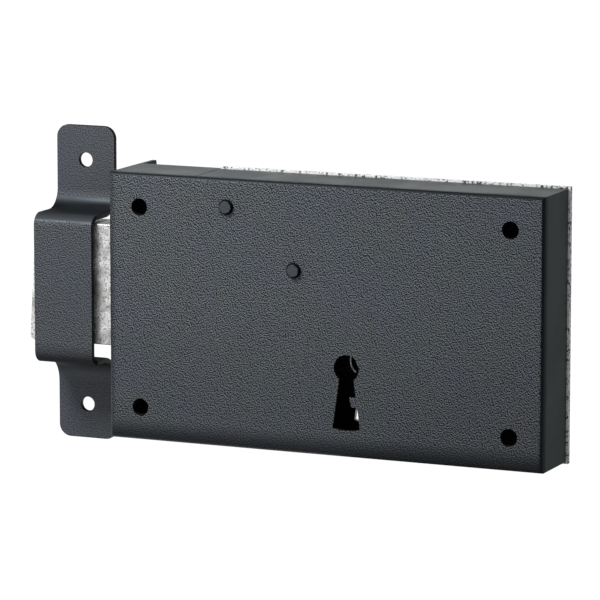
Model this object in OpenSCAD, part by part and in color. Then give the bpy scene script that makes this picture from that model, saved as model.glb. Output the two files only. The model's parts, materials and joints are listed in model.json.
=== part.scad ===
/* [Case] */
// Width of the case, from the forend's outer face to the far side
case_w = 135; // [125:0.5:150]
// Height of the case
case_h = 78.5; // [74:0.5:90]
// Depth of the case, from the front face to the door
case_d = 21; // [19:0.5:26]
// Thickness of the cover's sheet
sheet_t = 1.2; // [0.8:0.1:1.6]
// Outer radius of the cover's bends
bend_r = 1.4; // [1:0.1:2.2]
// Thickness of the back plate
back_t = 1.5; // [1:0.1:2]
// How far the back plate's rim stands proud of the case walls
back_proud = 0.6; // [0.2:0.1:1]

/* [Forend] */
// Thickness of the forend's sheet
forend_t = 1.5; // [1.2:0.1:2]
// How far the forend's lip reaches past the back plate, over the door's edge
lip = 8.8; // [8:0.2:20]
// Length of the flaps that the forend lays along the top and bottom of the case
flap_l = 27; // [20:0.5:29]
// Radius of the lip's free corners
lip_r = 0.6; // [0.5:0.1:4]
// Open seam between a flap and the cover's wall
seam = 0.2; // [0.1:0.05:0.4]

/* [Case screws] */
// Diameter of the four screw holes
screw_d = 5.1; // [4:0.1:5.6]
// Distance of the screw holes from the case's ends
screw_in_x = 10; // [8:0.5:12]
// Distance of the screw holes from the case's top and bottom
screw_in_z = 9.75; // [8:0.25:11]
// Wall of the spacer sleeves between cover and back plate
sleeve_wall = 1.4; // [1:0.1:2]

/* [Keyhole] */
// Backset: from the forend's outer face to the key's axis
backset = 75.3; // [72:0.1:78]
// Depth of the key's axis below the top of the case
key_drop = 52.6; // [52:0.1:54]
// Diameter of the keyhole's round head
key_head_d = 7.8; // [6.5:0.1:9]
// Width of the bit slot where it leaves the head
slot_neck_w = 4.66; // [4.4:0.02:5.4]
// Width of the bit slot at its foot
slot_foot_w = 8.8; // [8:0.1:10]
// Radius of the circle that the key's bit sweeps
bit_r = 17.5; // [16.5:0.1:17.8]
// Play between the bit's tip and what it passes
bit_play = 0.55; // [0.3:0.05:0.8]
// Height of the ward nose in the bit slot
nose_h = 2.9; // [2:0.1:3.4]
// Depth of the ward nose's top below the key's axis
nose_drop = 8.3; // [7.5:0.1:9]
// How far the ward nose stops short of the key's axis, at its upper corner
nose_gap = 0.9; // [0.6:0.1:1.4]
// How much larger than the cover's keyhole the back plate's is, all round the bit
back_hole_grow = 1.5; // [1:0.1:2.2]

/* [Bolt] */
// Height of the bolt head
bolt_h = 36; // [34:0.1:38]
// Thickness of the bolt head
bolt_t = 10; // [8:0.1:11]
// Depth of the bolt head's top below the top of the case
bolt_drop = 16.45; // [16:0.05:18]
// Air between the cover's inside and the bolt head
bolt_air = 5.3; // [4.8:0.1:6]
// Reach of the thrown bolt past the forend, at its lower corner
bolt_reach = 29.2; // [27:0.1:32]
// How much shorter the bolt's end is at its upper corner
bolt_rake = 2; // [0:0.1:3]
// Chamfer on the corners of the bolt's end
bolt_chamfer = 1; // [0.4:0.1:2]
// Chamfer along the bolt head's four long edges
bolt_edge = 0.5; // [0.2:0.1:1]
// Length of the thrown bolt head inside the forend's outer face
head_in = 16; // [14:0.5:18]
// Clearance round the bolt head in the forend
bolt_play = 0.4; // [0.2:0.05:0.8]
// Thickness of the bolt tail
tail_t = 3; // [2:0.1:4]
// Depth of the tail's top edge below the top of the bolt head
tail_step = 2.6; // [1:0.1:4]
// Air between the tail's lower edge and the key's axis
tail_air = 8; // [7.6:0.1:8.6]
// Length of tail beyond the talon's centre
tail_end = 11.5; // [10:0.5:13]
// Length of the tail's tongue inside the bolt head
tongue_l = 14.5; // [13:0.5:15]
// Width of the talon, the notch that the bit pushes
talon_w = 4; // [3.6:0.1:4.4]
// Diameter of the rivets that hold the tail in the head
bolt_rivet_d = 4; // [3:0.1:5]
// Height between those two rivets
bolt_rivet_pitch = 14; // [12:0.5:16]

/* [Studs] */
// Diameter of the studs' riveted ends, seen on the front face
stud_end_d = 4.4; // [3.8:0.1:4.8]
// How far the riveted ends stand proud of the front face
stud_proud = 1; // [0.4:0.1:1.6]
// Distance of the tumbler's pivot from the forend's outer face
pivot_x = 37.7; // [36.5:0.1:39]
// Depth of the tumbler's pivot below the top of the case
pivot_drop = 8.2; // [8:0.1:8.6]
// Diameter of the pivot stud inside the case
pivot_d = 6; // [5:0.1:6.4]
// Distance of the guide stud from the forend's outer face
guide_x = 58.9; // [58:0.1:60]
// Depth of the guide stud below the top of the case
guide_drop = 25.3; // [25:0.1:26]
// Diameter of the guide stud inside the case
guide_d = 5; // [4.6:0.1:5.4]
// Wall of the sleeves and spacers on the two studs
stud_wall = 1; // [0.8:0.1:1.2]
// Thickness of the washers on the two studs
washer_t = 0.5; // [0.3:0.1:0.8]
// Diameter of the screws that hold the back plate to the studs
plate_screw_d = 3; // [2.5:0.1:3.2]

/* [Tumbler] */
// Thickness of the tumbler
tumbler_t = 2; // [1.5:0.1:2.4]
// Air between the tumbler and the bolt tail
tumbler_air = 1.1; // [0.9:0.1:1.4]
// Radius of the tumbler's eye round its pivot
eye_r = 6; // [5.6:0.1:6.2]
// Swing of the tumbler, from lifted by the key to fallen
swing = 6; // [5:0.5:6.5]
// Depth of the tumbler's top edge below the pivot
tumbler_step = 6; // [5:0.1:7]
// Height of the tumbler's plate
tumbler_h = 27.6; // [26:0.2:29]
// Diameter of the stump, the peg on the tail that the tumbler stops
stump_d = 3.5; // [3:0.1:4]
// Distance of the stump beyond the talon's centre
stump_x = 6.2; // [6:0.1:6.6]
// Depth of the stump below the guide stud
stump_drop = 4.7; // [4.4:0.1:5]
// Play of the stump in the tumbler's gate
gate_play = 0.3; // [0.2:0.05:0.4]
// Width of the rim that the tumbler keeps round its gate
gate_rim = 3; // [2.4:0.1:4]
// Width of the rim on the pivot's side of the guide stud
neck_rim = 7; // [5:0.2:7.4]
// Thickness of the tumbler's leaf spring
spring_t = 0.6; // [0.4:0.05:0.8]
// Reach of the leaf spring along the case's top
leaf_span = 30; // [24:0.5:34]

/* [Centre ward] */
// Thickness of the centre ward's sheet
ward_t = 1; // [0.8:0.1:1.2]
// Height of the centre ward's bridge above the back plate
ward_rise = 7.3; // [7:0.1:7.5]
// Air between the centre ward and the tail above it
ward_air = 0.8; // [0.5:0.1:1.2]
// Reach of the centre ward below the key's axis
ward_drop = 3.4; // [3:0.1:4]
// Length of the ward's feet
foot_l = 6; // [5:0.5:7]
// Diameter of the rivets in the ward's feet
ward_rivet_d = 3; // [2:0.1:3]

/* [Keep] */
// Width of the keep's strap
keep_w = 19; // [17:0.5:22]
// Length of the keep's strap from end to end
keep_h = 94; // [88:0.5:100]
// Thickness of the keep's strap
keep_t = 1.5; // [1.2:0.1:2]
// Air between the bolt's front and the loop of the keep
keep_air = 1.2; // [0.9:0.1:3]
// Air between the bolt's top and the loop
loop_air_top = 0.8; // [0.8:0.1:3]
// Air between the bolt's underside and the loop
loop_air_low = 4.9; // [0.8:0.1:6]
// Outer radius of the two bends at the loop's front
loop_r = 3.6; // [3:0.1:5]
// Radius of the hollow bend at the upper flange
hollow_r = 5.8; // [4:0.1:6.4]
// Straight part of the loop's lower wall; the rest of its depth is the bend at the lower flange
loop_flat = 4.1; // [2:0.1:6]
// Radius of the strap's four corners
keep_corner_r = 3.7; // [2:0.1:5]
// Distance between the keep's two screw holes
keep_pitch = 73.5; // [70:0.5:76]
// Diameter of the keep's screw holes
keep_screw_d = 4.3; // [4:0.1:5.4]
// Gap between the keep and the forend
keep_gap = 7.4; // [4:0.1:10]

/* [Hidden] */
$fn = 48;
// Cut allowance, so that no cutting face lies on a wanted face
eps = 0.5;
// Clearance of a pin in the hole that holds it
fit = 0.05;
// Clearance of a turning or sliding piece on its pin
run = 0.08;

// Planes across the case: the door is y = 0 and the viewer is at -y
left_x = -case_w / 2;
right_x = case_w / 2;
top_z = case_h / 2;
front_y = -case_d;
inner_front_y = front_y + sheet_t;
inner_back_y = -back_t;
inner_top_z = top_z - sheet_t;
bend_end_y = front_y + bend_r;
seam_x = left_x + flap_l;

// Axes through the case, as x and z
key_at = [left_x + backset, top_z - key_drop];
pivot_at = [left_x + pivot_x, top_z - pivot_drop];
guide_at = [left_x + guide_x, top_z - guide_drop];

// The bolt, drawn thrown
bolt_top_z = top_z - bolt_drop;
bolt_low_z = bolt_top_z - bolt_h;
bolt_mid_z = (bolt_top_z + bolt_low_z) / 2;
bolt_front_y = inner_front_y + bolt_air;
bolt_back_y = bolt_front_y + bolt_t;
head_end_x = left_x + head_in;
tail_front_y = bolt_front_y + (bolt_t - tail_t) / 2;
tail_back_y = tail_front_y + tail_t;
tail_top_z = bolt_top_z - tail_step;
tail_low_z = key_at[1] + tail_air;
// The bit pushes the talon from where it enters the tail's edge to where it leaves it
bolt_travel = 2 * (sqrt(bit_r * bit_r - tail_air * tail_air) - talon_w / 2);
talon_x = key_at[0] - bolt_travel / 2;
tail_end_x = talon_x + tail_end;
stump_at = [talon_x + stump_x, guide_at[1] - stump_drop];
stump_r = stump_d / 2;
rivet_x = left_x + head_in / 2;
tail_corner_r = 3;
// How far the stump stands out in front of the tumbler
stump_past = 0.5;

// The tumbler, drawn lifted clear of the stump
tumbler_back_y = tail_front_y - tumbler_air;
tumbler_front_y = tumbler_back_y - tumbler_t;
stud_out_r = guide_d / 2 + stud_wall;
tumbler_top_z = pivot_at[1] - tumbler_step;
tumbler_low_z = tumbler_top_z - tumbler_h;
gate_r = stump_r + gate_play;
tumbler_left_x = guide_at[0] - stud_out_r - neck_rim;
tumbler_right_x = stump_at[0] + bolt_travel + gate_r + gate_rim;
// The leaf spring is one arc that leaves the tumbler and lies against the case's top
leaf_root_x = tumbler_right_x - gate_rim - gate_r;
leaf_touch_x = leaf_root_x - leaf_span;
leaf_rise = inner_top_z - tumbler_top_z;
leaf_r = (leaf_span * leaf_span + leaf_rise * leaf_rise) / (2 * leaf_rise);
leaf_at = [leaf_touch_x, inner_top_z - leaf_r];
leaf_root_a = asin(leaf_span / leaf_r);
// Angles of the leaf's root inside the tumbler and of its free end past the touching point
leaf_seat_a = 5.5;
leaf_tip_a = 6;
tumbler_corner_r = 4;
// Half the run of the slope under the tumbler's arm
arm_step = 2.5;

// The centre ward
ward_play = 0.2;
ward_out = bit_r + bit_play + ward_t + 0.5;
ward_front_y = inner_back_y - ward_rise;
ward_top = tail_air - ward_air;

// The screws that hold the back plate
plate_screw_l = 7;
screw_slot_w = 0.8;
screw_slot_d = 0.8;

// The keep
keep_right_x = left_x - keep_gap;
keep_mid_x = keep_right_x - keep_w / 2;
keep_mid_z = bolt_mid_z + (loop_air_top - loop_air_low) / 2;
keep_d = keep_t + keep_air - bolt_front_y;
loop_h = bolt_h + loop_air_top + loop_air_low + 2 * keep_t;

// Stretch from y = a to y = b of an outline drawn in x and z
module along_y(a, b) {
    translate([0, b, 0]) rotate([90, 0, 0]) linear_extrude(height = b - a) children();
}

// Round bar along y at the axis p
module bar(p, r, a, b) {
    translate([p[0], b, p[1]]) rotate([90, 0, 0]) cylinder(r = r, h = b - a);
}

// Tube along y at the axis p
module tube(p, r_out, r_in, a, b) {
    difference() {
        bar(p, r_out, a, b);
        bar(p, r_in, a - eps, b + eps);
    }
}

module rounded_rect(w, h, r) {
    square([w - 2 * r, h], center = true);
    square([w, h - 2 * r], center = true);
    for (x = [-1, 1], z = [-1, 1]) translate([x * (w / 2 - r), z * (h / 2 - r)]) circle(r = r);
}

// Part of a ring between two angles, less than a half turn apart
module ring_part(r_out, r_in, a, b) {
    far = 2 * r_out / cos((b - a) / 2);
    intersection() {
        difference() {
            circle(r = r_out);
            circle(r = r_in);
        }
        polygon([[0, 0], [far * cos(a), far * sin(a)],
                 [far * cos((a + b) / 2), far * sin((a + b) / 2)], [far * cos(b), far * sin(b)]]);
    }
}

// Slot with round ends that a pin of radius w cuts as it swings about c from point p by angle a
module swing_slot(c, p, a, w) {
    d = [p[0] - c[0], p[1] - c[1]];
    r = norm(d);
    start = atan2(d[1], d[0]);
    translate(c) {
        ring_part(r + w, r - w, start, start + a);
        for (t = [start, start + a]) translate([r * cos(t), r * sin(t)]) circle(r = w);
    }
}

// Outline of the keyhole, with its bit slot and its ward nose if it has one; grow widens it all
// round the bit
module keyhole_outline(grow = 0, nose = true) {
    neck = slot_neck_w / 2 + grow;
    foot = slot_foot_w / 2 + grow;
    tip_r = bit_r + bit_play + grow;
    nose_low = nose_drop + nose_h;
    translate(key_at) {
        circle(d = key_head_d + 2 * grow);
        difference() {
            intersection() {
                polygon([[-neck, 0], [neck, 0], [neck, -key_head_d / 2], [foot, -tip_r - eps],
                         [-foot, -tip_r - eps], [-neck, -key_head_d / 2]]);
                circle(r = tip_r, $fn = 96);
            }
            if (nose)
                polygon([[nose_gap + 0.6 + grow, grow - nose_low], [2 * foot, grow - nose_low],
                         [2 * foot, -nose_drop - grow], [nose_gap + grow, -nose_drop - grow]]);
        }
    }
}

// The places of the four case screws, as x and z
module at_case_screws() {
    for (x = [left_x + screw_in_x, right_x - screw_in_x], z = [-1, 1])
        translate([x, 0, z * (top_z - screw_in_z)]) children();
}

// Outer form of the case, taken in by the same amount on every side and open towards the door
module case_form(inset, r) {
    mid_y = front_y + inset + case_d;
    intersection() {
        translate([0, 0, -case_h]) linear_extrude(height = 2 * case_h)
            translate([0, mid_y]) rounded_rect(case_w - 2 * inset, 2 * case_d, r);
        rotate([90, 0, 90]) translate([0, 0, -case_w]) linear_extrude(height = 2 * case_w)
            translate([mid_y, 0]) rounded_rect(2 * case_d, case_h - 2 * inset, r);
    }
}

// Folded cover: front face, top, bottom and far side; the forend closes the near side
module case_cover() {
    color("#33363a") difference() {
        case_form(0, bend_r);
        case_form(sheet_t, max(bend_r - sheet_t, 0.1));
        translate([-case_w, inner_back_y, -case_h]) cube([2 * case_w, 3 * case_d, 2 * case_h]);
        translate([left_x - eps, bend_end_y, -case_h])
            cube([flap_l + seam + eps, case_d, 2 * case_h]);
        at_case_screws() bar([0, 0], screw_d / 2, front_y - eps, inner_front_y + eps);
        for (p = [pivot_at, guide_at]) bar(p, stud_end_d / 2 + fit, front_y - eps, inner_front_y + eps);
        along_y(front_y - eps, inner_front_y + eps) keyhole_outline();
    }
}

// Forend: the plate that the bolt leaves through, its lip and its two flaps
module forend() {
    lip_y = lip - lip_r;
    color("#33363a") difference() {
        union() {
            translate([left_x, bend_end_y, -top_z]) cube([forend_t, lip_y - bend_end_y, case_h]);
            translate([left_x, bend_end_y, lip_r - top_z]) cube([forend_t, lip - bend_end_y, case_h - 2 * lip_r]);
            for (z = [-1, 1]) {
                translate([left_x, lip_y, z * (top_z - lip_r)]) rotate([0, 90, 0])
                    cylinder(r = lip_r, h = forend_t);
                translate([left_x, bend_end_y, z > 0 ? top_z - forend_t : -top_z])
                    cube([flap_l, -bend_end_y, forend_t]);
            }
        }
        translate([left_x - eps, bolt_front_y - bolt_play, bolt_low_z - bolt_play])
            cube([forend_t + 2 * eps, bolt_t + 2 * bolt_play, bolt_h + 2 * bolt_play]);
    }
}

// Back plate: narrow between the flaps, and proud of the cover's walls beyond them
module back_plate() {
    near_x = left_x + forend_t + seam;
    near_h = case_h - 2 * (forend_t + seam);
    far_h = case_h + 2 * back_proud;
    color("#b9bcbc") difference() {
        along_y(inner_back_y, 0) {
            translate([near_x, -near_h / 2]) square([seam_x + eps - near_x, near_h]);
            translate([seam_x, -far_h / 2]) square([right_x + back_proud - seam_x, far_h]);
        }
        at_case_screws() bar([0, 0], screw_d / 2, inner_back_y - eps, eps);
        along_y(inner_back_y - eps, eps) keyhole_outline(back_hole_grow, false);
        for (p = [pivot_at, guide_at]) plate_screw(p, fit, eps);
        at_ward_rivets() bar([0, 0], ward_rivet_d / 2 + fit, inner_back_y - eps, eps);
    }
}

// Countersunk screw from the door side into a stud; grow gives the hole it fits
module plate_screw(p, grow = 0, past = 0) {
    r = plate_screw_d / 2;
    bar(p, r + grow, inner_back_y - plate_screw_l, 0);
    translate([p[0], past, p[1]]) rotate([90, 0, 0])
        cylinder(r1 = 2 * r + grow + past, r2 = r + grow, h = back_t + past);
}

module back_plate_screws() {
    color("#9a9c9e") for (p = [pivot_at, guide_at]) difference() {
        plate_screw(p);
        translate([p[0] - 3 * plate_screw_d, -screw_slot_d, p[1] - screw_slot_w / 2])
            cube([6 * plate_screw_d, screw_slot_d + eps, screw_slot_w]);
    }
}

// Spacer sleeves that let the four case screws be pulled tight
module screw_sleeves() {
    color("#3b3d40") at_case_screws()
        tube([0, 0], screw_d / 2 + sleeve_wall, screw_d / 2, inner_front_y, inner_back_y);
}

// Stud across the case: riveted end in the cover, tapped end for a back plate screw
module stud(p, d) {
    end_r = stud_end_d / 2;
    edge = stud_proud / 2;
    difference() {
        union() {
            bar(p, d / 2, inner_front_y, inner_back_y);
            bar(p, end_r, front_y - stud_proud + edge, inner_front_y);
            translate([p[0], front_y - stud_proud + edge, p[1]]) rotate([90, 0, 0])
                cylinder(r1 = end_r, r2 = end_r - edge, h = edge);
        }
        bar(p, plate_screw_d / 2 + fit, inner_back_y - plate_screw_l - eps, inner_back_y + eps);
    }
}

// Spacer tube round a stud
module stud_tube(p, d, a, b) {
    tube(p, d / 2 + stud_wall, d / 2 + fit, a, b);
}

module stud_washer(p, d, a) {
    tube(p, d / 2 + 2 * stud_wall, d / 2 + fit, a, a + washer_t);
}

module pivot_stud() {
    color("#33363a") stud(pivot_at, pivot_d);
}

module pivot_sleeve() {
    color("#8f9296") stud_tube(pivot_at, pivot_d, inner_front_y, tumbler_front_y - run);
}

module pivot_washer() {
    color("#c8a860") stud_washer(pivot_at, pivot_d, tumbler_back_y + run);
}

module pivot_spacer() {
    color("#8f9296") stud_tube(pivot_at, pivot_d, tumbler_back_y + run + washer_t, inner_back_y);
}

module guide_stud() {
    color("#33363a") stud(guide_at, guide_d);
}

module guide_sleeve() {
    color("#8f9296") stud_tube(guide_at, guide_d, inner_front_y, tail_front_y - run);
}

module guide_washer() {
    color("#c8a860") stud_washer(guide_at, guide_d, tail_back_y + run);
}

module guide_spacer() {
    color("#8f9296") stud_tube(guide_at, guide_d, tail_back_y + run + washer_t, inner_back_y);
}

// The places of the rivets in the centre ward's feet
module at_ward_rivets() {
    for (x = [-1, 1])
        translate([key_at[0] + x * (ward_out + foot_l / 2), 0, key_at[1] + (ward_top - ward_drop) / 2])
            children();
}

// Bridge of sheet across the middle of the case, with the keyhole's shape cut through it
module centre_ward() {
    low_z = key_at[1] - ward_drop;
    ward_h = ward_drop + ward_top;
    color("#a9abac") difference() {
        union() {
            translate([key_at[0] - ward_out, ward_front_y, low_z]) cube([2 * ward_out, ward_t, ward_h]);
            for (x = [-ward_out, ward_out - ward_t])
                translate([key_at[0] + x, ward_front_y, low_z]) cube([ward_t, ward_rise, ward_h]);
            for (x = [-ward_out - foot_l, ward_out - ward_t])
                translate([key_at[0] + x, inner_back_y - ward_t, low_z])
                    cube([foot_l + ward_t, ward_t, ward_h]);
        }
        along_y(ward_front_y - eps, ward_front_y + ward_t + eps) keyhole_outline(ward_play);
        at_ward_rivets() bar([0, 0], ward_rivet_d / 2 + fit, ward_front_y, eps);
    }
}

module ward_rivets() {
    head_y = inner_back_y - ward_t;
    color("#8f9296") at_ward_rivets() {
        bar([0, 0], ward_rivet_d / 2, head_y, 0);
        bar([0, 0], ward_rivet_d * 0.8, head_y - ward_rivet_d * 0.3, head_y);
    }
}

// Side view of the bolt head, its raked end to the left
module bolt_head_outline() {
    low_x = left_x - bolt_reach;
    top_x = low_x + bolt_rake;
    c = bolt_chamfer;
    polygon([[top_x, bolt_top_z - c], [low_x, bolt_low_z + c], [low_x + c, bolt_low_z],
             [head_end_x, bolt_low_z], [head_end_x, bolt_top_z], [top_x + c, bolt_top_z]]);
}

// The rivets that hold the tail in the head
module at_bolt_rivets() {
    for (z = [-1, 1])
        translate([rivet_x, 0, (tail_top_z + tail_low_z) / 2 + z * bolt_rivet_pitch / 2]) children();
}

// Cross-section of the bolt head, as y and z
module bolt_head_section() {
    e = bolt_edge;
    polygon([[bolt_front_y + e, bolt_low_z], [bolt_back_y - e, bolt_low_z],
             [bolt_back_y, bolt_low_z + e], [bolt_back_y, bolt_top_z - e],
             [bolt_back_y - e, bolt_top_z], [bolt_front_y + e, bolt_top_z],
             [bolt_front_y, bolt_top_z - e], [bolt_front_y, bolt_low_z + e]]);
}

module bolt_head() {
    color("#c4c4bf") difference() {
        intersection() {
            along_y(bolt_front_y, bolt_back_y) bolt_head_outline();
            rotate([90, 0, 90]) translate([0, 0, -case_w]) linear_extrude(height = case_w) bolt_head_section();
        }
        translate([head_end_x - tongue_l - fit, tail_front_y - fit, tail_low_z - fit])
            cube([tongue_l + 2 * fit + eps, tail_t + 2 * fit, tail_top_z - tail_low_z + 2 * fit]);
        at_bolt_rivets() bar([0, 0], bolt_rivet_d / 2 + fit, bolt_front_y - eps, bolt_back_y + eps);
    }
}

// Tail of the bolt: tongue in the head, slot for the guide stud, talon for the key
module bolt_tail() {
    tail_x = head_end_x - tongue_l;
    tail_h = tail_top_z - tail_low_z;
    slot_r = guide_d / 2 + run;
    color("#a4a6a6") difference() {
        along_y(tail_front_y, tail_back_y) difference() {
            union() {
                translate([tail_x, tail_low_z]) square([tail_end_x - tail_corner_r - tail_x, tail_h]);
                translate([tail_x, tail_low_z]) square([tail_end_x - tail_x, tail_h - tail_corner_r]);
                translate([tail_end_x - tail_corner_r, tail_top_z - tail_corner_r]) circle(r = tail_corner_r);
            }
            translate([guide_at[0] - bolt_travel, guide_at[1] - slot_r]) square([bolt_travel, 2 * slot_r]);
            for (x = [0, bolt_travel]) translate([guide_at[0] - x, guide_at[1]]) circle(r = slot_r);
            translate([talon_x - talon_w / 2, tail_low_z - eps])
                square([talon_w, bit_r + bit_play - tail_air + eps]);
        }
        bar(stump_at, stump_r + fit, tail_front_y - eps, tail_back_y + eps);
        at_bolt_rivets() bar([0, 0], bolt_rivet_d / 2 + fit, tail_front_y - eps, tail_back_y + eps);
    }
}

module bolt_rivets() {
    color("#b5b5b0") at_bolt_rivets() bar([0, 0], bolt_rivet_d / 2, bolt_front_y, bolt_back_y);
}

module bolt_stump() {
    color("#8f9296") bar(stump_at, stump_r, tumbler_front_y - stump_past, tail_back_y);
}

// Tumbler: eye on the pivot stud, arm and plate, with its belly cut to the sweep of the key's bit
module tumbler_outline() {
    arm_r = eye_r - 1;
    translate(pivot_at) circle(r = eye_r);
    polygon([[pivot_at[0], pivot_at[1] - arm_r], [tumbler_left_x - arm_step, pivot_at[1] - arm_r],
             [tumbler_left_x + arm_step, tumbler_top_z - 2 * tumbler_corner_r],
             [guide_at[0], tumbler_top_z - tumbler_corner_r], [pivot_at[0], pivot_at[1] + arm_r]]);
    translate([(tumbler_left_x + tumbler_right_x) / 2, (tumbler_top_z + tumbler_low_z) / 2])
        rounded_rect(tumbler_right_x - tumbler_left_x, tumbler_h, tumbler_corner_r);
}

// Gate in the tumbler: the stump's path when lifted, and a pocket at each end for it when fallen
module gate_outline() {
    far_at = [stump_at[0] + bolt_travel, stump_at[1]];
    translate([stump_at[0], stump_at[1] - gate_r]) square([bolt_travel, 2 * gate_r]);
    for (p = [stump_at, far_at]) swing_slot(pivot_at, p, swing, gate_r);
}

// Stretch of the leaf spring's arc; grow gives the slot that holds its root
module leaf_outline(a, b, grow = 0) {
    translate(leaf_at) ring_part(leaf_r + grow, leaf_r - spring_t - grow, a, b);
}

module tumbler() {
    root_a = 90 - leaf_root_a;
    color("#9da0a2") difference() {
        along_y(tumbler_front_y, tumbler_back_y) difference() {
            tumbler_outline();
            translate(key_at) circle(r = bit_r + bit_play, $fn = 96);
            gate_outline();
            swing_slot(pivot_at, guide_at, swing, stud_out_r + gate_play);
            leaf_outline(root_a - leaf_seat_a - 0.5, root_a + 2 * leaf_seat_a, fit);
        }
        bar(pivot_at, pivot_d / 2 + run, tumbler_front_y - eps, tumbler_back_y + eps);
    }
}

// Leaf spring: its root sits in the tumbler's slot and its free end slides under the case's top
module tumbler_spring() {
    color("#6f7276") along_y(tumbler_front_y + run, tumbler_back_y - run)
        leaf_outline(90 - leaf_root_a - leaf_seat_a, 90 + leaf_tip_a);
}

// Side view of the upper half of the keep's strap, its back on the door frame at zero; r is the
// radius of its hollow bend
module keep_half_outline(r) {
    half = loop_h / 2;
    out_c = [-(keep_d - loop_r), half - loop_r];
    in_c = [-(keep_t + r), half + r];
    translate([-keep_d, 0]) square([keep_t, out_c[1]]);
    translate(out_c) ring_part(loop_r, loop_r - keep_t, 90, 180);
    translate([out_c[0], half - keep_t]) square([in_c[0] - out_c[0], keep_t]);
    translate(in_c) ring_part(r + keep_t, r, -90, 0);
    translate([-keep_t, in_c[1]]) square([keep_t, keep_h / 2 - in_c[1]]);
}

// Keep: one strap bent to a loop for the bolt, with a screw hole in each flange
module keep() {
    color("#33363a") translate([keep_mid_x, 0, keep_mid_z]) difference() {
        intersection() {
            rotate([90, 0, 90]) translate([0, 0, -keep_w / 2]) linear_extrude(height = keep_w) {
                keep_half_outline(hollow_r);
                mirror([0, 1]) keep_half_outline(keep_d - keep_t - loop_r - loop_flat);
            }
            along_y(-2 * keep_d, eps) rounded_rect(keep_w, keep_h, keep_corner_r);
        }
        for (z = [-1, 1]) bar([0, z * keep_pitch / 2], keep_screw_d / 2, -keep_t - eps, eps);
    }
}

case_cover();
forend();
back_plate();
back_plate_screws();
screw_sleeves();
pivot_stud();
pivot_sleeve();
pivot_washer();
pivot_spacer();
guide_stud();
guide_sleeve();
guide_washer();
guide_spacer();
centre_ward();
ward_rivets();
bolt_head();
bolt_tail();
bolt_rivets();
bolt_stump();
tumbler();
tumbler_spring();
keep();
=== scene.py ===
import json
import math

import bmesh
import bpy
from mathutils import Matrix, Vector

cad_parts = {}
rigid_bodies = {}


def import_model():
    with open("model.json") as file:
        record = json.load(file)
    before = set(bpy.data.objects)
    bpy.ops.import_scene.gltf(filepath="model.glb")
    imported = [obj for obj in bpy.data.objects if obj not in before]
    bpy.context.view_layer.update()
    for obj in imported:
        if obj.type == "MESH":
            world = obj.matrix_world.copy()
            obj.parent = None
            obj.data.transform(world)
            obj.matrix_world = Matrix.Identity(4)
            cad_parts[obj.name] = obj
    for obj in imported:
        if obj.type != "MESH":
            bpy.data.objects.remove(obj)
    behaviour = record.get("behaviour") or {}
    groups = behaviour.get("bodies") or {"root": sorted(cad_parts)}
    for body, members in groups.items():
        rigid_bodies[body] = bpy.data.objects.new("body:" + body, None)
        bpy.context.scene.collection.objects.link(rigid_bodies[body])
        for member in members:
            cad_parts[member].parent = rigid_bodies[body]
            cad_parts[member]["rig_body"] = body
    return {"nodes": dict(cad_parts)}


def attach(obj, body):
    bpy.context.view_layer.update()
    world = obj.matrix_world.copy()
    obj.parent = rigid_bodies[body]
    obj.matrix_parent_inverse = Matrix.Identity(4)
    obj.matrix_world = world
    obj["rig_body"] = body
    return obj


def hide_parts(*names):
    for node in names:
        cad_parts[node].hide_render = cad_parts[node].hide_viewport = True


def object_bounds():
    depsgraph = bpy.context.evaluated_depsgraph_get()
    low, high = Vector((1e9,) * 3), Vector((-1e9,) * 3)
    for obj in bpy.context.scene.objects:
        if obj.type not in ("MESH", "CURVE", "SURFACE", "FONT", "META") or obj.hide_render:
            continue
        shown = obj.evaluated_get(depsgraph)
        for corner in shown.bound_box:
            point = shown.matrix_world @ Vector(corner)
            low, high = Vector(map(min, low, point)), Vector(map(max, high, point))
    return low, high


MM = 0.001

# The camera: where it stands round the lock, and its lens
VIEW_AZIMUTH = 23.68
VIEW_ELEVATION = 9.38
VIEW_DISTANCE = 1.251
VIEW_TARGET = Vector((-0.01583, 0.0, 0.00177))
LENS_MM = 257.6
SENSOR_MM = 36.0

# Rounding of the cut edges under the coat, and of bare sheet and bar
COAT_EDGE = 0.22 * MM
BARE_EDGE = 0.12 * MM
EDGE_ANGLE = math.radians(50)
FLAT_ANGLE = math.radians(0.5)
MERGE_WITHIN = 0.002 * MM
BEVEL_SEGMENTS = 3

# The coat's grain: the size of one bump, and how far it is drawn out along X, Y and Z, along Y so far
# that it is the same at every depth. Its painted shading, the side of a bump that a light from above
# would light, is found from two places, one step to each side along Z and a little along X, by how far
# the height falls between them, and painted lighter in the tone.
COAT_GRAIN = 0.345 * MM
GRAIN_SHAPE = (1.15, 1e4, 1.0)
GRAIN_STEP = 0.4
GRAIN_LEAN = 0.4
# How far the height must fall for the painted shading to go from dark to light
PAINTED_LIGHT_FALL = 0.095

# The textured coat: its middle tone as a linear grey and that of the keep and the studs as a share of
# it, the keep's share lower as painted shade since the lamp is nearer to it, the two tints that its
# clouds change between and the greener tint of its mist and walls, which on the walls and top faces is
# a painted tint of how they are lit, how much of that the case's mist, the keep's mist and a top face
# show, its roughness and how matt its front is at least, the depth of its bumps, its shine square on,
# and the blue cast of the shine
COAT_TONE = 0.064
# The keep's tone is painted darker, as shade against the lamp that stands nearer to it
KEEP_SHADE_SHARE = 0.88
STUD_SHARE = 0.75
COAT_TINT = (0.95, 0.985, 1.04)
COAT_BLUER_TINT = (0.90, 0.955, 1.14)
COAT_GREENER_TINT = (0.86, 1.04, 1.02)
COAT_CLOUDS = 17 * MM
COAT_MIST = 11 * MM
CASE_GREEN = 0.5
KEEP_GREEN = 0.1
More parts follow.
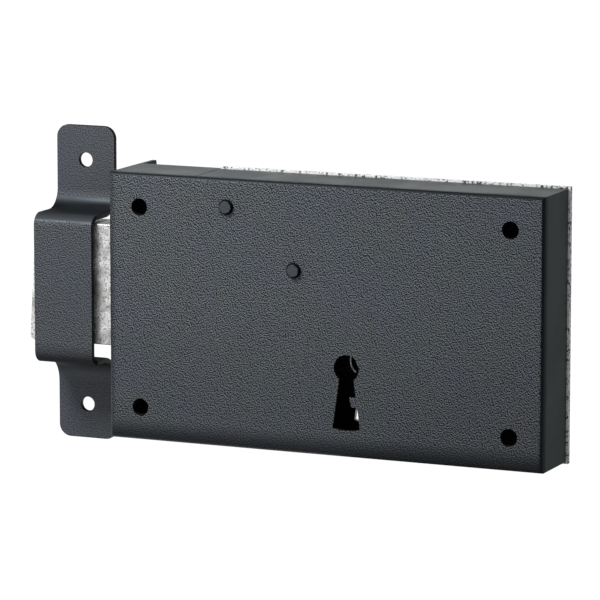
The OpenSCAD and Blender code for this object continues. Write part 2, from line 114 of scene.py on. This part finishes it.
# How much of the greener tint is painted on top faces for how they are lit
TOP_PAINTED_GREEN = 0.7
COAT_ROUGHNESS = (0.38, 0.46)
FRONT_ROUGHNESS = 0.52
COAT_BUMP = 0.20 * MM
STUD_BUMP = 0.08 * MM
COAT_SHINE = 0.25
COAT_SHINE_TINT = (0.74, 0.87, 1.0, 1.0)

# How strongly the grain's painted shading shows in the tone of the case, the keep and the studs, how
# much of it is lost at the foot of the case, how much is left on the keep's flanges, and how much of its
# height on walls
CASE_CONTRAST = 1.0
KEEP_CONTRAST = 0.75
STUD_CONTRAST = 0.2
FOOT_GRAIN_LOSS = 0.3
FLANGE_GRAIN = 0.6
WALL_RELIEF = 0.04

# Where shade is painted into the case's coat. Each pair goes from where it starts to where it is darkest.
CASE_FOOT_Z = (-30.5 * MM, -38.3 * MM)
CASE_LOWER_Z = (12.0 * MM, -36.0 * MM)
CASE_LEFT_X = (-64.5 * MM, -67.3 * MM)
CASE_BEND_Y = (-17.2 * MM, -19.0 * MM)
CASE_BACK_Y = (-4.5 * MM, -1.5 * MM)
HOLES_HALF_WIDTH = 66 * MM
HOLES_HALF_HEIGHT = 37.6 * MM

# The same on the keep: from its flanges to its loop, and the foot of the loop
LOOP_Y = (-12.0 * MM, -14.5 * MM)
LOOP_FOOT_Z = (-12.5 * MM, -19.0 * MM)

# How much shade is painted into the coat in each of those places, from 0 to 1
BEND_DARK = 0.85
FOOT_DARK = 0.85
LOWER_DARK = 0.16
LEFT_DARK = 0.7
BESIDE_BEND_DARK = 0.75
BACK_DARK = 0.5
HOLLOW_DARK = 0.93
CROWN_DARK = 0.8
LOOP_BEND_DARK = 0.6

# The galvanised sheet: its crystals and their tones, the tone and strength of the seams between them,
# the flecks of its cut edge, their tones, their depth and where they change from dark to bright, the
# near-black painted shade on its face inside the case, how rough and how metallic it is, and how far
# its rim's inner side is from the middle
SHEET_CRYSTAL = 3.2 * MM
SHEET_TONES = (0.52, 0.70)
SEAM_TONE = 0.42
SEAM_STRENGTH = 0.4
FLECK_SIZE = 0.9 * MM
FLECK_TONES = (0.05, 0.92)
FLECK_BUMP = 0.05 * MM
FLECK_CHANGE = (0.38, 0.50)
INNER_SHADE_TONE = 0.02
SHEET_ROUGHNESS = (0.34, 0.50)
SHEET_METAL = 0.4
RIM_HALF_WIDTH = 67.4 * MM
RIM_HALF_HEIGHT = 39.2 * MM

# The zinc plating: the tones of its dull and bright places and of its specks, the tint of the dull
# ones, its speckle and clouds, how deep the specks are, how rough it is, and how metallic
ZINC_DULL = 0.407
ZINC_BRIGHT = 0.962
ZINC_SPECK = 0.148
ZINC_DULL_TINT = (1.0, 1.0, 0.98)
ZINC_BUMP = 0.02 * MM
ZINC_SPECKLE = 1.0 * MM
ZINC_CLOUDS = 7 * MM
ZINC_ROUGHNESS = (0.36, 0.48)
ZINC_METAL = 0.7

# Rolled metal: the size, depth and strength of its streaks and their tone as a share of the metal's,
# and the size of its clouds and their tone as such a share
STREAK_SIZE = (14 * MM, 0.35 * MM, 0.35 * MM)
STREAK_BUMP = 0.01 * MM
STREAK_STRENGTH = 0.35
STREAK_SHARE = 1.12
METAL_CLOUDS = 12 * MM
CLOUD_SHARE = 0.82

# The steel, the spring and the brass
STEEL_TONE = 0.52
STEEL_TINT = (1.0, 1.0, 1.0)
STEEL_ROUGHNESS = (0.30, 0.46)
SPRING_TONE = 0.26
SPRING_TINT = (0.92, 0.97, 1.08)
BRASS_TONE = 0.62
BRASS_TINT = (1.12, 0.92, 0.48)
BRIGHT_ROUGHNESS = (0.22, 0.38)

# The stage: the floor's size and place, its own tone, how much of its shadow the eye sees, and how
# bright the rest of it looks; and the even light from all round
STAGE_SIZE = 6.0
FLOOR_GAP = 0.2 * MM
FLOOR_TONE = 0.5
FLOOR_SHADOW = 0.12
FLOOR_GLOW = 1.14
AMBIENT = 0.45

# What gloss meets: dark screens overhead and on the right, from where each starts to where it is
# darkest, as parts of the direction, and their tone
OVERHEAD_Z = (0.16, 0.42)
OVERHEAD_TONE = 0.06
RIGHT_X = (0.05, 0.38)
RIGHT_TONE = 0.14

# The key lamp: its place, the width of its disk and its power
LAMP_PLACE = Vector((-0.18, -0.22, 0.29))
LAMP_SIZE = 0.12
LAMP_WATTS = 1.8


# Node trees

def put(tree, kind, inputs=None, **settings):
    """A node with its settings, and each named or numbered input set or linked."""
    node = tree.nodes.new(kind)
    for name, value in settings.items():
        setattr(node, name, value)
    for name, value in (inputs or {}).items():
        socket = node.inputs[name]
        if isinstance(value, bpy.types.NodeSocket):
            tree.links.new(value, socket)
        else:
            socket.default_value = value
    return node


def maths(tree, operation, a, b=0.5, clamp=False):
    node = put(tree, "ShaderNodeMath", {0: a, 1: b}, operation=operation, use_clamp=clamp)
    return node.outputs[0]


def product(tree, a, b):
    return maths(tree, "MULTIPLY", a, b)


def remainder(tree, share):
    """What is left of 1 when a share is taken from it."""
    return maths(tree, "SUBTRACT", 1.0, share)


def largest(tree, *values):
    most = values[0]
    for value in values[1:]:
        most = maths(tree, "MAXIMUM", most, value)
    return most


def ramp(tree, value, low, high, out_low=0.0, out_high=1.0, smooth=True):
    """The value taken from one range to another and held at its ends."""
    kind = "SMOOTHSTEP" if smooth else "LINEAR"
    inputs = {"Value": value, "From Min": low, "From Max": high, "To Min": out_low, "To Max": out_high}
    return put(tree, "ShaderNodeMapRange", inputs, interpolation_type=kind).outputs["Result"]


def fade(tree, value, span, most=1.0):
    """0 up to where the span starts, and the most from where it ends."""
    return ramp(tree, value, span[0], span[1], 0.0, most)


def blend_colours(tree, factor, a, b):
    node = tree.nodes.new("ShaderNodeMix")
    node.data_type = "RGBA"
    for socket, value in zip((node.inputs[0], node.inputs[6], node.inputs[7]), (factor, a, b)):
        if isinstance(value, bpy.types.NodeSocket):
            tree.links.new(value, socket)
        else:
            socket.default_value = value
    return node.outputs[2]


def scaled(tree, vector, size):
    """The coordinates counted in steps of one size, or of one size along each axis."""
    steps = tuple(1 / s for s in size) if isinstance(size, tuple) else (1 / size,) * 3
    node = put(tree, "ShaderNodeVectorMath", {0: vector, 1: steps}, operation="MULTIPLY")
    return node.outputs[0]


def counted(tree, vector, size):
    """The coordinates counted in steps of a size that comes from a socket."""
    steps = maths(tree, "DIVIDE", 1.0, size)
    return put(tree, "ShaderNodeVectorMath", {0: vector, "Scale": steps}, operation="SCALE").outputs[0]


def noise(tree, vector, detail=2.0, roughness=0.5):
    inputs = {"Vector": vector, "Scale": 1.0, "Detail": detail, "Roughness": roughness}
    return put(tree, "ShaderNodeTexNoise", inputs).outputs["Fac"]


def new_group(name, inputs, outputs):
    """An empty node group with named sockets; gives the group, its input node and its output node."""
    group = bpy.data.node_groups.new(name, "ShaderNodeTree")
    for socket, kind in inputs:
        group.interface.new_socket(socket, in_out="INPUT", socket_type=kind)
    for socket, kind in outputs:
        group.interface.new_socket(socket, in_out="OUTPUT", socket_type=kind)
    return group, put(group, "NodeGroupInput"), put(group, "NodeGroupOutput")


def grain_group():
    """Fine bumps of a textured coat, drawn out a little along X: their height, and painted shading of them,
    from 0 on their undersides to 1 on their upper sides, as a light from above would light them."""
    group, given, result = new_group(
        "coat_grain", [("Vector", "NodeSocketVector"), ("Size", "NodeSocketFloat")],
        [("Height", "NodeSocketFloat"), ("Tone", "NodeSocketFloat")])
    place = counted(group, given.outputs["Vector"], given.outputs["Size"])
    place = scaled(group, place, GRAIN_SHAPE)
    sides = []
    for step in (-GRAIN_STEP, GRAIN_STEP):
        aside = (GRAIN_LEAN * step, 0.0, step)
        beside = put(group, "ShaderNodeVectorMath", {0: place, 1: aside}).outputs[0]
        sides.append(noise(group, beside, detail=0.0))
    # Painted shading: how far the height falls from the upper to the lower side, lit as from above
    painted_light_fall = maths(group, "SUBTRACT", sides[0], sides[1])
    height = product(group, maths(group, "ADD", sides[0], sides[1]), 0.5)
    group.links.new(height, result.inputs["Height"])
    tone = ramp(group, painted_light_fall, -PAINTED_LIGHT_FALL, PAINTED_LIGHT_FALL, smooth=False)
    group.links.new(tone, result.inputs["Tone"])
    return group


def cloud_group():
    """Slow changes of tone over a surface, between 0 and 1."""
    group, given, result = new_group(
        "clouds", [("Vector", "NodeSocketVector"), ("Size", "NodeSocketFloat")],
        [("Tone", "NodeSocketFloat")])
    place = counted(group, given.outputs["Vector"], given.outputs["Size"])
    tone = noise(group, place, detail=3.0, roughness=0.55)
    group.links.new(ramp(group, tone, 0.32, 0.68), result.inputs["Tone"])
    return group


def spangle_group():
    """Crystals of a zinc coat: a tone for each crystal, the seams between them, and fine dark specks."""
    group, given, result = new_group(
        "zinc_spangle", [("Vector", "NodeSocketVector"), ("Size", "NodeSocketFloat")],
        [("Tone", "NodeSocketFloat"), ("Seam", "NodeSocketFloat"), ("Speck", "NodeSocketFloat")])
    place = counted(group, given.outputs["Vector"], given.outputs["Size"])
    cells = put(group, "ShaderNodeTexVoronoi", {"Vector": place, "Scale": 1.0})
    seams = put(group, "ShaderNodeTexVoronoi", {"Vector": place, "Scale": 1.0}, feature="DISTANCE_TO_EDGE")
    tone = put(group, "ShaderNodeSeparateColor", {"Color": cells.outputs["Color"]}).outputs["Red"]
    fine = put(group, "ShaderNodeVectorMath", {0: place, "Scale": 1.6}, operation="SCALE").outputs[0]
    speck = noise(group, fine, detail=4.0, roughness=0.75)
    group.links.new(tone, result.inputs["Tone"])
    group.links.new(ramp(group, seams.outputs["Distance"], 0.06, 0.0), result.inputs["Seam"])
    group.links.new(ramp(group, speck, 0.47, 0.68), result.inputs["Speck"])
    return group


def streak_group():
    """Fine lines of rolled or drawn metal, along X."""
    group, given, result = new_group(
        "rolled_streaks", [("Vector", "NodeSocketVector")], [("Tone", "NodeSocketFloat")])
    place = scaled(group, given.outputs["Vector"], STREAK_SIZE)
    tone = noise(group, place, detail=3.0, roughness=0.6)
    group.links.new(ramp(group, tone, 0.3, 0.7), result.inputs["Tone"])
    return group


def facing_group():
    """Which way a surface faces: Front is 1 on faces square to Y, Side is 1 on faces square to X, Top is
    1 on faces square to Z, and Edge is 1 on bends and rounded edges between two flat faces."""
    group, given, result = new_group(
        "facing", [("Normal", "NodeSocketVector")],
        [("Front", "NodeSocketFloat"), ("Side", "NodeSocketFloat"), ("Top", "NodeSocketFloat"),
         ("Edge", "NodeSocketFloat")])
    size = put(group, "ShaderNodeVectorMath", {0: given.outputs["Normal"]}, operation="ABSOLUTE").outputs[0]
    axes = put(group, "ShaderNodeSeparateXYZ", {0: size})
    most = maths(group, "MAXIMUM", axes.outputs["X"], maths(group, "MAXIMUM", axes.outputs["Y"],
                                                           axes.outputs["Z"]))
    sockets = {"Front": ramp(group, axes.outputs["Y"], 0.80, 0.98),
               "Side": ramp(group, axes.outputs["X"], 0.5, 0.8),
               "Top": ramp(group, axes.outputs["Z"], 0.9, 0.99),
               "Edge": ramp(group, most, 0.988, 0.90)}
    for name, socket in sockets.items():
        group.links.new(socket, result.inputs[name])
    return group


def inside_group():
    """1 inside a box about the origin, such as on the walls of holes in a case, and 0 outside it."""
    group, given, result = new_group(
        "inside_box", [("Vector", "NodeSocketVector"), ("Half Width", "NodeSocketFloat"),
                       ("Half Height", "NodeSocketFloat")], [("Inside", "NodeSocketFloat")])
    size = put(group, "ShaderNodeVectorMath", {0: given.outputs["Vector"]}, operation="ABSOLUTE").outputs[0]
    axes = put(group, "ShaderNodeSeparateXYZ", {0: size})
    in_x = maths(group, "LESS_THAN", axes.outputs["X"], given.outputs["Half Width"])
    in_z = maths(group, "LESS_THAN", axes.outputs["Z"], given.outputs["Half Height"])
    group.links.new(product(group, in_x, in_z), result.inputs["Inside"])
    return group


def use_group(tree, group, **inputs):
    node = put(tree, "ShaderNodeGroup")
    node.node_tree = group
    for name, value in inputs.items():
        socket = node.inputs[name.replace("_", " ")]
        if isinstance(value, bpy.types.NodeSocket):
            tree.links.new(value, socket)
        else:
            socket.default_value = value
    return node.outputs


# Materials

def grey(value, tint=(1.0, 1.0, 1.0)):
    return (value * tint[0], value * tint[1], value * tint[2], 1.0)


def new_material(name):
    """A material with its own shader; gives its tree, the shader and the object's coordinates."""
    material = bpy.data.materials.new(name)
    material.use_nodes = True
    tree = material.node_tree
    tree.nodes.clear()
    shader = put(tree, "ShaderNodeBsdfPrincipled")
    put(tree, "ShaderNodeOutputMaterial", {"Surface": shader.outputs[0]})
    place = put(tree, "ShaderNodeTexCoord")
    return material, tree, shader, place


def raise_normal(tree, shader, height, depth):
    bump = put(tree, "ShaderNodeBump", {"Height": height, "Distance": depth})
    tree.links.new(bump.outputs["Normal"], shader.inputs["Normal"])


def case_shade(tree, groups, at, facing):
    """How the case's coat changes over it. Dark: painted shade on bends and in holes, towards the lower and
    left edges, beside the front bends, and at the back of the end wall. Level: how much of the grain's
    bumps and painted shading shows. Matt: the least roughness."""
    axes = put(tree, "ShaderNodeSeparateXYZ", {0: at}).outputs
    walls = maths(tree, "MAXIMUM", facing["Side"], facing["Top"])
    # Each of these is painted shade: on bends, at the foot, lower down, at the left, beside the bends, at
    # the back and in holes
    bends = product(tree, facing["Edge"], BEND_DARK)
    foot = product(tree, fade(tree, axes["Z"], CASE_FOOT_Z, FOOT_DARK), facing["Front"])
    lower = product(tree, fade(tree, axes["Z"], CASE_LOWER_Z, LOWER_DARK), facing["Front"])
    left = product(tree, fade(tree, axes["X"], CASE_LEFT_X, LEFT_DARK), facing["Front"])
    beside = product(tree, fade(tree, axes["Y"], CASE_BEND_Y, BESIDE_BEND_DARK), walls)
    back = product(tree, fade(tree, axes["Y"], CASE_BACK_Y, BACK_DARK), facing["Side"])
    inside = use_group(tree, groups["inside"], Vector=at, Half_Width=HOLES_HALF_WIDTH,
                       Half_Height=HOLES_HALF_HEIGHT)["Inside"]
    hole = product(tree, inside, remainder(tree, facing["Front"]))
    dark = largest(tree, bends, foot, lower, left, beside, back, hole)
    level = maths(tree, "SUBTRACT", facing["Front"], product(tree, foot, FOOT_GRAIN_LOSS))
    return dark, level, largest(tree, foot, hole)


def keep_shade(tree, groups, at, facing):
    """How the keep's coat changes over it. Dark: painted shade in the hollows beside the door frame, on the
    loop's top and bends, on the end faces, and towards the foot of the loop. Level: how much of the
    grain's bumps and painted shading shows, which is less on the flanges. Matt: the least roughness."""
    axes = put(tree, "ShaderNodeSeparateXYZ", {0: at}).outputs
    loop = fade(tree, axes["Y"], LOOP_Y)
    turned = remainder(tree, facing["Front"])
    # Each of these is painted shade: in the hollows, at the loop's foot, on its top and bends, and on end
    # faces
    hollow = product(tree, maths(tree, "SUBTRACT", turned, loop, clamp=True), HOLLOW_DARK)
    foot = product(tree, fade(tree, axes["Z"], LOOP_FOOT_Z, FOOT_DARK), loop)
    top = product(tree, facing["Top"], CROWN_DARK)
    bends = product(tree, product(tree, turned, LOOP_BEND_DARK), loop)
    crown = largest(tree, top, bends)
    dark = largest(tree, hollow, foot, crown, facing["Side"])
    level = product(tree, facing["Front"], ramp(tree, loop, 0.0, 1.0, FLANGE_GRAIN, 1.0))
    return dark, level, largest(tree, foot, crown)


def textured_coat(name, groups, depth, contrast, shade, share=1.0, green=CASE_GREEN):
    """Black textured powder coat. The grain's bumps and painted shading lie on the front and fade on bends
    and walls, which are smooth; walls and tops take a greener tint painted for how they are lit. The
    shade is a function that says where shade is painted into the coat, how much grain shows and how
    matt it is."""
    material, tree, shader, place = new_material(name)
    at = place.outputs["Object"]
    grain = use_group(tree, groups["grain"], Vector=at, Size=COAT_GRAIN)
    clouds = use_group(tree, groups["clouds"], Vector=at, Size=COAT_CLOUDS)["Tone"]
    turned_over = scaled(tree, at, (1.0, 1.0, -1.3))
    mist = use_group(tree, groups["clouds"], Vector=turned_over, Size=COAT_MIST)["Tone"]
    facing = use_group(tree, groups["facing"], Normal=place.outputs["Normal"])
    dark, level, matt = shade(tree, groups, at, facing)

    tint = blend_colours(tree, clouds, grey(1.0, COAT_TINT), grey(1.0, COAT_BLUER_TINT))
    # Walls and top faces get the greener tint, painted for how they are lit; the mist's share is a random
    # tone
    walls = maths(tree, "MAXIMUM", facing["Side"], product(tree, facing["Top"], TOP_PAINTED_GREEN))
    greener = maths(tree, "MAXIMUM", product(tree, mist, green), walls)
    tint = blend_colours(tree, greener, tint, grey(1.0, COAT_GREENER_TINT))
    # The grain's painted shading: lighter on the upper sides of bumps, darker below them
    painted_relief = product(tree, maths(tree, "SUBTRACT", grain["Tone"], 0.5), level)
    painted_relief = maths(tree, "ADD", product(tree, painted_relief, 2 * contrast), 1.0)
    # Painted shade from the shade function darkens the tone
    tone = product(tree, product(tree, painted_relief, share * COAT_TONE), remainder(tree, dark))
    base = put(tree, "ShaderNodeVectorMath", {0: tint, "Scale": tone}, operation="SCALE").outputs[0]
    tree.links.new(base, shader.inputs["Base Color"])

    shader.inputs["Specular IOR Level"].default_value = COAT_SHINE
    shader.inputs["Specular Tint"].default_value = COAT_SHINE_TINT
    rough = ramp(tree, clouds, 0, 1, *COAT_ROUGHNESS)
    rough = largest(tree, rough, product(tree, facing["Front"], FRONT_ROUGHNESS), matt)
    tree.links.new(rough, shader.inputs["Roughness"])
    height = product(tree, grain["Height"], maths(tree, "MAXIMUM", level, WALL_RELIEF))
    raise_normal(tree, shader, height, depth)
    return material


def galvanised_sheet(name, groups):
    """Rolled sheet with a zinc coat: spangle on its face, bright and dark flecks on its cut edge and
    on the rim that stands proud of the case, and near-black painted shade on the face inside the case."""
    material, tree, shader, place = new_material(name)
    at = place.outputs["Object"]
    spangle = use_group(tree, groups["spangle"], Vector=at, Size=SHEET_CRYSTAL)
    flecks = noise(tree, scaled(tree, at, FLECK_SIZE), detail=3.0, roughness=0.65)
    facing = put(tree, "ShaderNodeSeparateXYZ", {0: place.outputs["Normal"]}).outputs["Y"]
    within = use_group(tree, groups["inside"], Vector=at, Half_Width=RIM_HALF_WIDTH,
                       Half_Height=RIM_HALF_HEIGHT)["Inside"]
    edge = ramp(tree, maths(tree, "ABSOLUTE", facing), 0.7, 0.4)
    edge = maths(tree, "MAXIMUM", edge, remainder(tree, within))
    # Painted shade, near black, on the faces inside the case that look forward
    inner = product(tree, within, ramp(tree, facing, -0.4, -0.7))

    face = blend_colours(tree, spangle["Tone"], *(grey(tone) for tone in SHEET_TONES))
    face = blend_colours(tree, product(tree, spangle["Seam"], SEAM_STRENGTH), face, grey(SEAM_TONE))
    face = blend_colours(tree, inner, face, grey(INNER_SHADE_TONE))
    bright = ramp(tree, flecks, *FLECK_CHANGE)
    cut = blend_colours(tree, bright, *(grey(tone) for tone in FLECK_TONES))
    tree.links.new(blend_colours(tree, edge, face, cut), shader.inputs["Base Color"])
    shader.inputs["Metallic"].default_value = SHEET_METAL
    tree.links.new(ramp(tree, spangle["Tone"], 0, 1, *SHEET_ROUGHNESS), shader.inputs["Roughness"])
    raise_normal(tree, shader, flecks, FLECK_BUMP)
    return material


def zinc_plate(name, groups):
    """Dull bright plating with a fine speckle, as on the bolt, its rivets and the screws."""
    material, tree, shader, place = new_material(name)
    at = place.outputs["Object"]
    spangle = use_group(tree, groups["spangle"], Vector=at, Size=ZINC_SPECKLE)
    clouds = use_group(tree, groups["clouds"], Vector=at, Size=ZINC_CLOUDS)["Tone"]
    base = blend_colours(tree, clouds, grey(ZINC_DULL, ZINC_DULL_TINT), grey(ZINC_BRIGHT))
    base = blend_colours(tree, spangle["Speck"], base, grey(ZINC_SPECK))
    tree.links.new(base, shader.inputs["Base Color"])
    shader.inputs["Metallic"].default_value = ZINC_METAL
    rough = ramp(tree, spangle["Tone"], 0, 1, *ZINC_ROUGHNESS)
    tree.links.new(rough, shader.inputs["Roughness"])
    raise_normal(tree, shader, spangle["Speck"], ZINC_BUMP)
    return material


def rolled_metal(name, groups, tone, tint, roughness):
    """Bare rolled metal with fine streaks and a slow change of tone, such as steel or brass."""
    material, tree, shader, place = new_material(name)
    at = place.outputs["Object"]
    streaks = use_group(tree, groups["streaks"], Vector=at)["Tone"]
    clouds = use_group(tree, groups["clouds"], Vector=at, Size=METAL_CLOUDS)["Tone"]
    base = blend_colours(tree, clouds, grey(tone * CLOUD_SHARE, tint), grey(tone, tint))
    streaked = product(tree, streaks, STREAK_STRENGTH)
    base = blend_colours(tree, streaked, base, grey(tone * STREAK_SHARE, tint))
    tree.links.new(base, shader.inputs["Base Color"])
    shader.inputs["Metallic"].default_value = 1.0
    tree.links.new(ramp(tree, streaks, 0, 1, *roughness), shader.inputs["Roughness"])
    raise_normal(tree, shader, streaks, STREAK_BUMP)
    return material


def make_materials():
    groups = {"grain": grain_group(), "clouds": cloud_group(), "spangle": spangle_group(),
              "streaks": streak_group(), "facing": facing_group(), "inside": inside_group()}
    case_coat = textured_coat("case_coat", groups, COAT_BUMP, CASE_CONTRAST, case_shade)
    keep_coat = textured_coat("keep_coat", groups, COAT_BUMP, KEEP_CONTRAST, keep_shade, KEEP_SHADE_SHARE,
                              KEEP_GREEN)
    stud_coat = textured_coat("stud_coat", groups, STUD_BUMP, STUD_CONTRAST, case_shade, STUD_SHARE)
    return {
        "case_coat": case_coat,
        "keep_coat": keep_coat,
        "stud_coat": stud_coat,
        "galvanised": galvanised_sheet("galvanised_sheet", groups),
        "zinc": zinc_plate("zinc_plate", groups),
        "steel": rolled_metal("rolled_steel", groups, STEEL_TONE, STEEL_TINT, STEEL_ROUGHNESS),
        "spring": rolled_metal("spring_steel", groups, SPRING_TONE, SPRING_TINT, BRIGHT_ROUGHNESS),
        "brass": rolled_metal("turned_brass", groups, BRASS_TONE, BRASS_TINT, BRIGHT_ROUGHNESS),
    }


# The lock's pieces

def softened(node, name, width, material):
    """A piece in the shape of one CAD node, with its cut edges rounded; it takes that node's place."""
    mesh = frame["nodes"][node].data.copy()
    mesh.name = name
    mesh.materials.clear()
    shape = bmesh.new()
    shape.from_mesh(mesh)
    bmesh.ops.remove_doubles(shape, verts=shape.verts, dist=MERGE_WITHIN)
    bmesh.ops.dissolve_limit(shape, angle_limit=FLAT_ANGLE, verts=shape.verts, edges=shape.edges)
    sharp = [e for e in shape.edges if len(e.link_faces) == 2 and e.calc_face_angle(0) > EDGE_ANGLE]
    bmesh.ops.bevel(shape, geom=sharp, offset=width, offset_type="OFFSET", affect="EDGES",
                    segments=BEVEL_SEGMENTS, profile=0.5, material=-1, clamp_overlap=True)
    bmesh.ops.triangulate(shape, faces=[f for f in shape.faces if len(f.verts) > 4])
    for face in shape.faces:
        face.smooth = True
    shape.to_mesh(mesh)
    shape.free()
    piece = bpy.data.objects.new(name, mesh)
    bpy.context.scene.collection.objects.link(piece)
    piece.data.materials.append(material)
    weighted = piece.modifiers.new("weighted", "WEIGHTED_NORMAL")
    weighted.keep_sharp = True
    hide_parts(node)
    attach(piece, frame["nodes"][node]["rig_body"])
    return piece


def dress(node, material):
    """A CAD node that keeps its own shape and gets a finish."""
    mesh = frame["nodes"][node].data
    mesh.materials.clear()
    mesh.materials.append(material)


# Stage, lamp and camera

def studio_group():
    """Light that gloss meets from a direction: white low down on the left, in front and behind, and
    dark overhead and on the right, where black screens stand."""
    group, given, result = new_group(
        "studio", [("Way", "NodeSocketVector")], [("Level", "NodeSocketFloat")])
    way = put(group, "ShaderNodeVectorMath", {0: given.outputs["Way"]}, operation="NORMALIZE").outputs[0]
    axes = put(group, "ShaderNodeSeparateXYZ", {0: way})
    overhead = ramp(group, axes.outputs["Z"], *OVERHEAD_Z, 1.0, OVERHEAD_TONE)
    right = ramp(group, axes.outputs["X"], *RIGHT_X, 1.0, RIGHT_TONE)
    group.links.new(product(group, overhead, right), result.inputs["Level"])
    return group


def make_floor(height, studio):
    """A pale floor that shows white to the eye, with a soft shadow left on it."""
    bpy.ops.mesh.primitive_plane_add(size=2 * STAGE_SIZE, location=(0, 0, height))
    floor = bpy.context.object
    floor.name = "floor"
    material = bpy.data.materials.new("pale_floor")
    material.use_nodes = True
    tree = material.node_tree
    tree.nodes.clear()
    sight = put(tree, "ShaderNodeLightPath").outputs
    level = use_group(tree, studio, Way=put(tree, "ShaderNodeTexCoord").outputs["Object"])["Level"]
    direct = maths(tree, "MAXIMUM", sight["Is Camera Ray"], sight["Is Transmission Ray"])
    shown = maths(tree, "MAXIMUM", product(tree, direct, FLOOR_GLOW), level)
    matt = put(tree, "ShaderNodeBsdfDiffuse", {"Color": grey(FLOOR_TONE)}).outputs[0]
    glow = put(tree, "ShaderNodeEmission", {"Color": shown}).outputs[0]
    seen = maths(tree, "MAXIMUM", direct, sight["Is Glossy Ray"])
    share = product(tree, seen, 1 - FLOOR_SHADOW)
    surface = put(tree, "ShaderNodeMixShader", {0: share, 1: matt, 2: glow}).outputs[0]
    put(tree, "ShaderNodeOutputMaterial", {"Surface": surface})
    floor.data.materials.append(material)


def make_world(studio):
    """White to the eye, the studio's levels to gloss, and an even grey for the rest."""
    world = bpy.data.worlds.new("studio_world")
    bpy.context.scene.world = world
    world.use_nodes = True
    tree = world.node_tree
    tree.nodes.clear()
    way = put(tree, "ShaderNodeTexCoord").outputs["Generated"]
    sight = put(tree, "ShaderNodeLightPath").outputs
    gloss = maths(tree, "MAXIMUM", sight["Is Glossy Ray"], sight["Is Transmission Ray"])
    shown = product(tree, gloss, use_group(tree, studio, Way=way)["Level"])
    rest = product(tree, remainder(tree, gloss), AMBIENT)
    level = maths(tree, "MAXIMUM", maths(tree, "ADD", shown, rest), sight["Is Camera Ray"])
    light = put(tree, "ShaderNodeBackground", {"Color": level})
    put(tree, "ShaderNodeOutputWorld", {"Surface": light.outputs[0]})


def make_lamp():
    """A soft lamp up on the left, aimed at the middle of the lock."""
    data = bpy.data.lights.new("key", "AREA")
    data.shape = "DISK"
    data.size = LAMP_SIZE
    data.energy = LAMP_WATTS
    lamp = bpy.data.objects.new("key", data)
    bpy.context.scene.collection.objects.link(lamp)
    lamp.location = LAMP_PLACE
    lamp.rotation_euler = (-LAMP_PLACE).to_track_quat("-Z", "Y").to_euler()


def make_camera():
    turn, rise = math.radians(VIEW_AZIMUTH), math.radians(VIEW_ELEVATION)
    back = Vector((math.sin(turn) * math.cos(rise), -math.cos(turn) * math.cos(rise), math.sin(rise)))
    data = bpy.data.cameras.new("camera")
    data.lens = LENS_MM
    data.sensor_width = SENSOR_MM
    data.clip_start = 0.05
    data.clip_end = 4 * STAGE_SIZE
    camera = bpy.data.objects.new("camera", data)
    bpy.context.scene.collection.objects.link(camera)
    camera.location = VIEW_TARGET + back * VIEW_DISTANCE
    camera.rotation_euler = (-back).to_track_quat("-Z", "Y").to_euler()
    bpy.context.scene.camera = camera


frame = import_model()
cad_box = [list(corner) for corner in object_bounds()]
finish_of = make_materials()

for node, name, width, slot, finish in (
        ("case_cover", "cover_shell", COAT_EDGE, "black_coat", "case_coat"),
        ("forend", "forend_plate", COAT_EDGE, "black_coat", "case_coat"),
        ("keep", "keep_strap", COAT_EDGE, "black_coat", "keep_coat"),
        ("pivot_stud", "pivot_rivet", COAT_EDGE, "black_coat", "stud_coat"),
        ("guide_stud", "guide_rivet", COAT_EDGE, "black_coat", "stud_coat"),
        ("bolt_head", "bolt_block", BARE_EDGE, "zinc_plate", "zinc"),
        ("back_plate", "back_sheet", BARE_EDGE, "galvanised_sheet", "galvanised")):
    softened(node, name, width, finish_of[finish])

for finish, nodes in {
        "case_coat": ["screw_sleeves"],
        "zinc": ["back_plate_screws", "bolt_rivets"],
        "galvanised": ["centre_ward"],
        "steel": ["pivot_sleeve", "pivot_spacer", "guide_sleeve", "guide_spacer", "ward_rivets",
                  "bolt_tail", "bolt_stump", "tumbler"],
        "spring": ["tumbler_spring"],
        "brass": ["pivot_washer", "guide_washer"]}.items():
    for node in nodes:
        dress(node, finish_of[finish])

studio = studio_group()
make_floor(cad_box[0][2] - FLOOR_GAP, studio)
make_world(studio)
make_lamp()
make_camera()

scene = bpy.context.scene
scene.view_settings.view_transform = "Standard"
